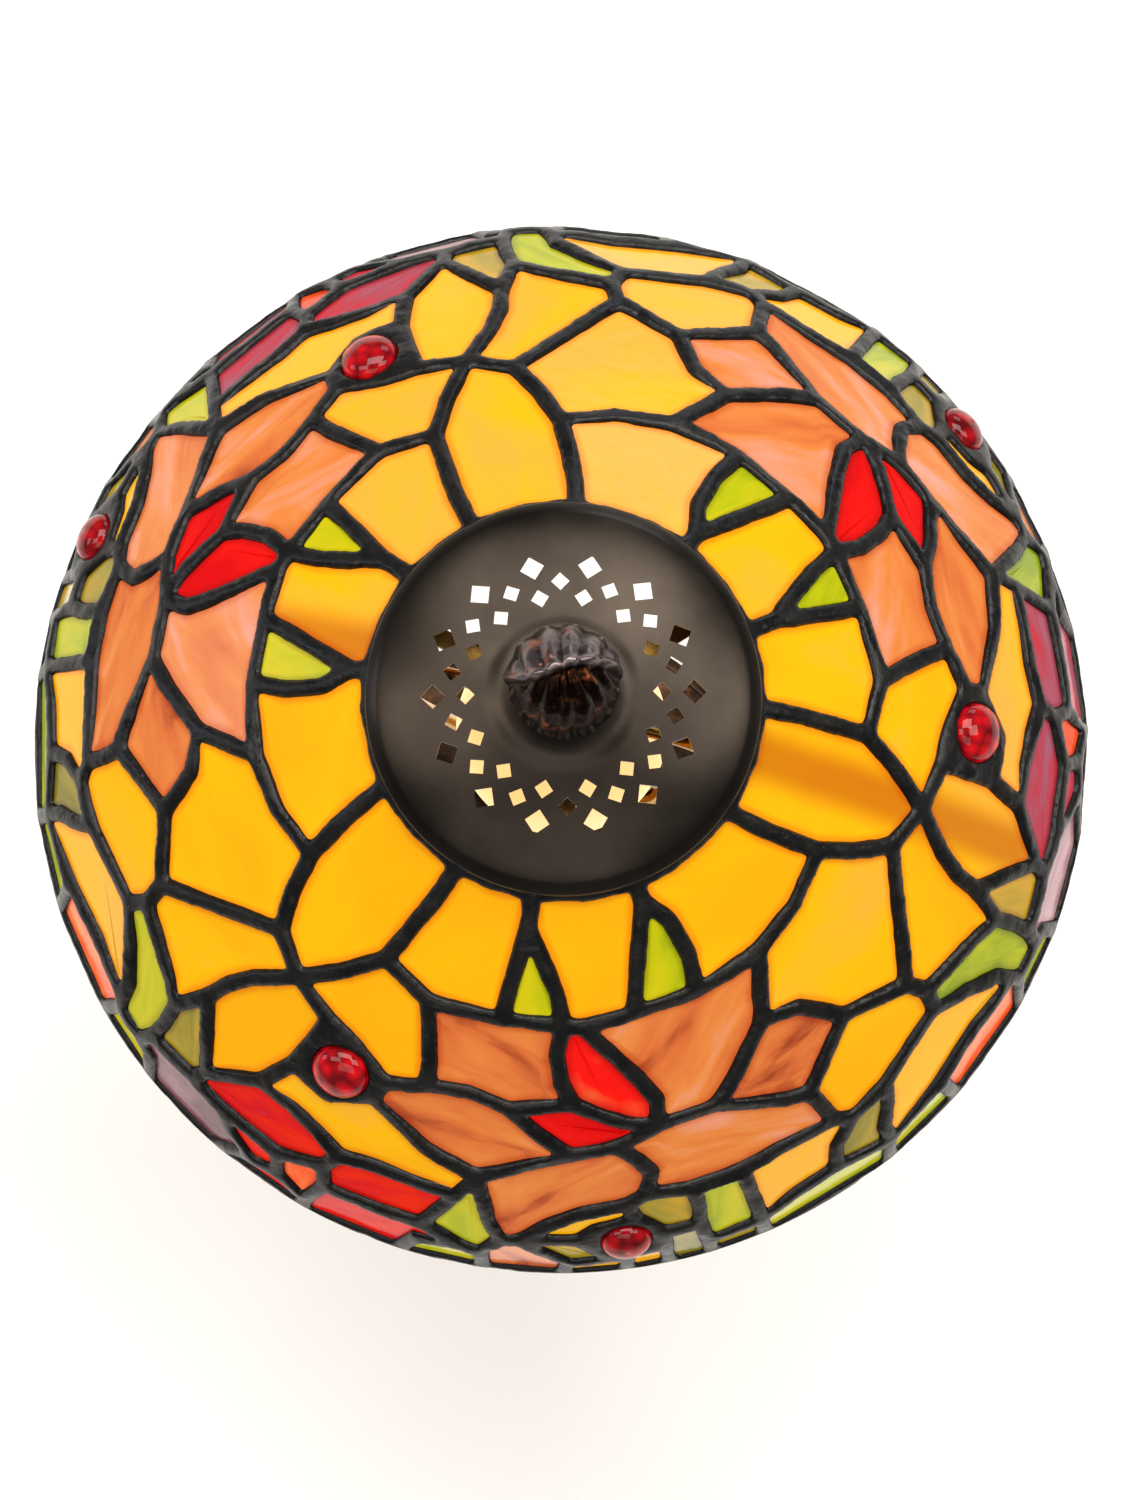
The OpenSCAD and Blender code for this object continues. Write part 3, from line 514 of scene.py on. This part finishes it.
# Peach: long brown and salmon streaks, like brushed paint, in the large lilies.
peach = sheet_glass("streaky_peach_sheet", (0.24, "94361a"), (0.38, "d46c34"), (0.54, "e2843e"),
                    (0.7, "e69a80"), streak=0.014, spread=0.3, flow=3.5, edge="e8c0a8", glow=0.7, shine=0.2)
# Cherry red: a clear, strong red at the heart of each lily.
red = sheet_glass("cherry_red_sheet", (0.35, "d00002"), (0.6, "ea1204"), (0.75, "e0582c"),
                  streak=0.02, spread=0.2, flow=2.0, edge="d89090", glow=0.8)
# Rose: crimson near the front and dusty mauve behind, the mauve a painted reflection of the light behind the
# lamp, with a ripple that keeps it matt.
rose = sheet_glass("rippled_rose_sheet", (0.22, "96586a"), (0.42, "a83c4c"), (0.6, "c81018"), (0.8, "dc2408"),
                   streak=0.012, spread=0.5, flow=2.5, edge="d8a0a0", rough=0.14, glow=0.85, shine=0.03)
# Burnt orange: small hot accents near the rim.
orange = sheet_glass("burnt_orange_sheet", (0.3, "c83c14"), (0.5, "ec521c"), (0.7, "f07c3a"),
                     streak=0.015, spread=0.3, flow=2.0, edge="dca080", glow=0.85, shine=0.04)
# Yellow green: leaf tips, from moss to lime in fine streaks.
green = sheet_glass("streaky_yellow_green_sheet", (0.3, "8a9c0c"), (0.5, "b6b80c"), (0.7, "cebe10"),
                    streak=0.012, spread=0.35, flow=3.0, edge="d0d090", glow=0.7, shine=0.15)
# Olive: the darker, browner leaves.
olive = sheet_glass("streaky_olive_sheet", (0.3, "7c7010"), (0.5, "a08a10"), (0.7, "c8980c"),
                    streak=0.012, spread=0.3, flow=3.0, edge="c8b880", glow=0.7)
# Mauve: wine near the front and milky pink behind, the pink a painted reflection of the light behind the lamp.
mauve = sheet_glass("opalescent_mauve_sheet", (0.22, "5e2430"), (0.5, "b47c88"), (0.75, "d8bab4"),
                    streak=0.02, spread=0.6, flow=2.0, edge="d8c0c0", shine=0.1)

# Each kind of glass, the compass angle where its later colours gather, and how strongly they do. That
# gathering is painted light and reflection: far panes paler or mauver, as if mirroring the light behind the
# lamp, near panes in fuller colour.
for kind, glass, painted_light_angle, painted_light_lean in (
        ("amber", amber, 80, 0.5), ("border", border, 60, 0.7), ("peach", peach, 70, 0.45),
        ("red", red, 0, 0), ("rose", rose, -125, 0.85), ("orange", orange, -110, 0.6),
        ("green", green, -90, 0.3), ("olive", olive, 0, 0), ("mauve", mauve, 70, 0.8)):
    packed = "glass_" + kind
    piece(kind + "_panes", sheet_of(packed, painted_light_angle, painted_light_lean), "shade", glass, packed, packed, crease=20)


# ---- Ruby jewels ----
# Pressed ruby glass, round and domed, held by their own ring of solder.
# The bulb's light is painted into them as a deep red glow, and the polished front mirrors the windows.

def pressed_ruby(name, glow):
    """Polished ruby glass with a faceted back; the small bright and dark fields that the back would break the
    light into are painted into its glow.
    """
    ruby, skin = finish_called(name, 0.05, IOR=1.55, Emission_Strength=glow, Specular_IOR_Level=0.25)
    painted_facet_light = add(ruby, "TexVoronoi", {"Vector": own_place(ruby), "Scale": 260.0}, feature="F1")
    glow_of(ruby, skin, ramped(ruby, painted_facet_light.outputs["Distance"], (0.1, "d80814"), (0.75, "6c0006")), 0.22)
    return ruby


# Painted light: the upper jewels sit level with the bulb and get the stronger painted glow, and the lower
# ones, past its reach, get a weaker one and stay darker.
for node, ruby in (("jewels_upper", pressed_ruby("pressed_ruby_glass", 0.8)),
                   ("jewels_lower", pressed_ruby("pressed_ruby_glass_painted_dim", 0.45))):
    piece("ruby_" + node, packed_shape(node), "shade", ruby, "ruby_glass", node, crease=50)


# ---- Soldered seams ----
# Copper foil round every pane, soldered by hand from both sides into rounded beads.
# A black patina leaves them dark, with a low sheen, small ripples and fine scratches.

patina, skin = finish_called("black_patina_solder", 0.3, Specular_IOR_Level=0.25)
place = own_place(patina)
tint, patch = mottled(patina, place, 0.008, "060505", "0f0e0d")
rub = stretched(patina, speckle(patina, place, 420.0, 6.0, 0.7), 0.62, 0.8, 0.0, 0.25)
tint = blended(patina, rub, tint, linear("5a5860"))
gloss = stretched(patina, patch, 0.3, 0.7, 0.26, 0.46)
feed(patina, skin, Base_Color=tint, Roughness=gloss)
bumps(patina, skin, speckle(patina, place, 330.0, 3.0), 0.55, 0.0006)

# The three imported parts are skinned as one, softened, plumped and rippled, and then thinned.
widest = 0.1538
bead = modified(packed_shape("solder_a", "solder_b", "solder_c"), "REMESH", mode="VOXEL", voxel_size=0.0006)
smoothed(bead, bead.verts, 16)
bead.normal_update()
for v in bead.verts:
    v.co += v.normal * (0.0004 + 0.00028 * noise.noise(v.co * 160) + 0.00012 * noise.noise(v.co * 420))
    drawn_in = min(1, widest / v.co.xy.length)
    v.co.x *= drawn_in
    v.co.y *= drawn_in
bead = modified(bead, "DECIMATE", ratio=0.42)

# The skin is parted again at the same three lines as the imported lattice, and each part is closed.
for k, letter in enumerate("abc"):
    third = bead.copy()
    for turned, sign in ((-104 + 120 * k, 1), (16 + 120 * k, -1)):
        face_way = Vector((-sin(radians(turned)), cos(radians(turned)), 0)) * sign
        everything = third.verts[:] + third.edges[:] + third.faces[:]
        bmesh.ops.bisect_plane(third, geom=everything, plane_co=(0, 0, 0), plane_no=face_way, clear_inner=True)
        bmesh.ops.holes_fill(third, edges=[e for e in third.edges if e.is_boundary], sides=0)
    piece("soldered_seams_" + letter, third, "shade", patina, "patina_solder", "solder_" + letter, crease=60)
bead.free()

eased(piece("rim_wire", packed_shape("rim_band"), "shade", patina, "patina_solder", "rim_band"), 0.0004)
eased(piece("collar_in_shade", packed_shape("collar_ring"), "shade", brass, "brass", "collar_ring"), 0.0003)


# ---- Vent cap and washer ----
# A spun brass cap with a rolled edge, pierced by three rings of diamonds to let the heat out.
# It is darkened to bronze, then brushed round and round, which leaves fine circular lines.

cap_edge = 0.429  # height of the middle of the rolled edge, in metres; the rest is in millimetres
cap_reach = 52.75
roll = 1.4
sheet_metal = 1.2


def crown(out):
    """Height of the cap's upper skin at a distance from the axis: a low boss, a dome and a soft shoulder."""
    boss = min(1, max(0, (out - 15) / 6))
    shoulder = 1 - (1 - min(0.999, out / cap_reach) ** 2.6) ** 0.5
    return 13.1 - 0.9 * boss * boss * (3 - 2 * boss) - 6.2 * shoulder - 0.161 * max(0, out - 18)


def diamond_punches():
    """Fourteen sets of three square punches, corner outward, that stand through the cap."""
    punches = bmesh.new()
    for k in range(14):
        for start, out, half in ((102.3, 34.45, 3.3), (90, 29.9, 2.5), (102.3, 25.85, 2.5)):
            turn = Matrix.Rotation(radians(start + k * 360 / 14), 4, "Z")
            corners = [punches.verts.new(turn @ Vector((out + x, y, 425)) / 1000)
                       for x, y in ((half, 0), (0, half), (-half, 0), (0, -half))]
            grown = bmesh.ops.extrude_face_region(punches, geom=[punches.faces.new(corners)])["geom"]
            top = [v for v in grown if isinstance(v, bmesh.types.BMVert)]
            bmesh.ops.translate(punches, vec=(0, 0, 0.025), verts=top)
    bmesh.ops.recalc_face_normals(punches, faces=punches.faces)
    return punches


# Spun bronze: dark brown, satin, with the brush's rings round the axis and faint smears.
spun, skin = finish_called("spun_dark_bronze", 0.3, 1.0)
place = own_place(spun)
flat = add(spun, "VectorMath", {0: place, 1: (1, 1, 0)}, operation="MULTIPLY")
from_axis = add(spun, "VectorMath", {0: flat.outputs[0]}, operation="LENGTH")
ring = add(spun, "CombineXYZ", {0: from_axis.outputs["Value"]})
gloss = stretched(spun, speckle(spun, place, 70.0, 6.0, 0.6), 0.3, 0.7, 0.27, 0.34)
feed(spun, skin, Base_Color=mottled(spun, place, 0.03, "2a2521", "38322c")[0], Roughness=gloss)
bumps(spun, skin, speckle(spun, ring.outputs[0], 2200.0, 3.0), 0.1, 0.0001)

# The cap's outline runs out over the crown, round the rolled edge and back underneath.
outline = [(3.4 + 1.17 * k, crown(3.4 + 1.17 * k)) for k in range(41)]
outline += [(cap_reach - roll + roll * cos(radians(a)), roll * sin(radians(a))) for a in range(45, -200, -30)]
outline += [(49.4 - 2.3 * k, crown(49.4 - 2.3 * k) - sheet_metal) for k in range(21)]
cap = cut_with(turned_from(outline, cap_edge, 144), diamond_punches())
eased(piece("spun_cap", cap, "base", spun, "dark_bronze", "vent_cap", crease=40), 0.0002, 50)
eased(piece("cap_washer", packed_shape("finial_washer"), "base", spun, "dark_bronze",
            "finial_washer"), 0.0004)


# ---- Finial ----
# A cast leaf bud that screws on the stud: ribbed leaves, one folded over the other at the top.
# The casting is darkened; a grey sheen is painted on its ribs, and the hollows are brown, partly patina and
# partly painted shade.

low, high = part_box("finial")
outline = [(0, 0), (8.5, 0), (9.5, 1.5), (8, 3), (10.2, 5), (13.6, 8.5), (15.2, 13), (14.9, 17.5),
           (13.6, 22.5), (11, 27), (7.2, 30.6), (3.4, 32.6), (0, 33.2)]
bud = turned_from(outline, low.z, 180, closed=False, split=slice(None), cuts=5)
smoothed(bud, bud.verts, 3)
bud.normal_update()
raised = bud.verts.layers.float.new("raised")
for v in bud.verts:
    # The edge of the upper leaf winds across the bud. Behind it ribs fan out from one point, and in
    # front of it the lower leaves are hollowed and ribbed from another.
    x, y, z = v.co.x * 1000, v.co.y * 1000, (v.co.z - low.z) * 1000
    lump = noise.noise(v.co * 70)
    side = y - (1.2 + 1.6 * sin((x + 1) / 5.0) + 1.2 * lump)
    over = min(1, max(0, 0.5 + side / 1.2))
    back_ribs = 2 * abs(cos(atan2(x - 2, y + 20) * 15 + lump)) - 1
    front_ribs = 2 * abs(cos(atan2(x, 14 - y) * 13 + 0.8 * lump)) - 1
    lip = max(0, 1 - abs(side - 0.9) / 1.7)
    push = over * (0.6 * back_ribs + 1.1 * lip) + (1 - over) * (0.6 * front_ribs - 1.7)
    push *= 0.45 + 0.55 * min(1, max(0, (z - 12) / 10))
    push += 0.35 * noise.noise(v.co * 260) + 0.15 * noise.noise(v.co * 700)
    grown = min(1, max(0, (z - 5) / 5))
    v.co += v.normal * (push * grown * 0.001)
    v.co.z = min(v.co.z, high.z)
    # The raised value later paints a grey sheen on the ribs and shade in the hollows.
    v[raised] = min(1, max(0, 0.5 + 0.45 * push))
smoothed(bud, bud.verts, 1, factor=0.4)

# Cast bronze: brown-black in the hollows, as patina and painted shade, a painted grey sheen on the ribs, and
# warmer where it is rubbed.
bud_bronze, skin = finish_called("cast_bud_bronze", 0.3, 1.0)
place = own_place(bud_bronze)
height_of = add(bud_bronze, "Attribute", attribute_name="raised").outputs["Fac"]
tint = ramped(bud_bronze, height_of, (0.15, "1a0f0a"), (0.8, "6c6060"))
share = stretched(bud_bronze, speckle(bud_bronze, place, 210.0, 3.0), 0.56, 0.7, 0.0, 0.8)
feed(bud_bronze, skin, Base_Color=blended(bud_bronze, share, tint, linear("7a4322")))
bumps(bud_bronze, skin, speckle(bud_bronze, place, 700.0, 4.0), 0.5, 0.0004)
piece("leaf_bud_finial", bud, "finial", bud_bronze, "cast_bronze", "finial", crease=0)


# ---- Table, light and camera ----
# A plain pale table top, four soft lights high round the lamp, and two weak, cool windows.
# The lamp is seen from straight above, with a hint of its front.

top_shape = bmesh.new()
bmesh.ops.create_grid(top_shape, x_segments=2, y_segments=2, size=4.0)
table = object_of("table_top", top_shape)
# Matt white paint: a plain, bright ground with no shine.
paint, skin = finish_called("matt_white_paint", 0.9, Specular_IOR_Level=0.1)
feed(paint, skin, Base_Color=mottled(paint, own_place(paint), 0.2, "f7f6f4", "faf9f7")[0])
table.data.materials.append(paint)

room = bpy.data.worlds.new("pale_room")
scene.world = room
room.use_nodes = True
sky = room.node_tree.nodes["Background"]
sky.inputs["Color"].default_value = linear("e8edf2")
sky.inputs["Strength"].default_value = 0.32


def softbox(name, at, aim, size, power, code):
    """A rectangular lamp pointed at one place."""
    light = bpy.data.lights.new(name, "AREA")
    light.shape = "RECTANGLE"
    light.size, light.size_y = size
    light.energy = power
    light.color = linear(code)[:3]
    lamp = bpy.data.objects.new(name, light)
    lamp.location = at
    lamp.rotation_euler = (Vector(aim) - Vector(at)).to_track_quat("-Z", "Y").to_euler()
    scene.collection.objects.link(lamp)


softbox("window_behind", (0.9, 2.6, 1.0), (0, 0, 0.3), (1.2, 0.8), 10, "e8f0ff")
softbox("window_left", (-2.6, 0.5, 1.1), (0, 0, 0.3), (0.8, 0.8), 7, "e4ecff")
softbox("soft_behind", (0.1, 1.5, 3.1), (0, 0, 0), (3.0, 1.7), 110, "fffaf2")
softbox("soft_right", (1.7, 0.2, 2.8), (0, 0, 0), (1.3, 1.8), 40, "fffaf2")
softbox("soft_left", (-1.7, 0.1, 2.7), (0, 0, 0), (1.0, 1.6), 22, "fff6ee")
softbox("soft_in_front", (-0.3, -1.4, 2.9), (0, 0, 0), (2.6, 1.5), 22, "fffaf2")

# The camera looks almost straight down from 1.1 m over the widest part of the dome.
view = bpy.data.cameras.new("camera")
view.sensor_width = 36.0
view.lens = 91.7
camera = bpy.data.objects.new("camera", view)
pitch, yaw, roll = 0.1104, 0.0102, -0.0295
ahead = Vector((0, sin(pitch), -cos(pitch)))
above = Vector((0, cos(pitch), sin(pitch)))
right = Vector((1, 0, 0))
look = ahead * cos(yaw) + right * sin(yaw)
across = right * cos(yaw) - ahead * sin(yaw)
side = across * cos(roll) + above * sin(roll)
top = above * cos(roll) - across * sin(roll)
stand = Matrix((side, top, -look)).transposed().to_4x4()
stand.translation = Vector((-0.0110, -0.1253, 1.4341))
camera.matrix_world = stand
scene.collection.objects.link(camera)
scene.camera = camera
scene.view_settings.view_transform = "Standard"
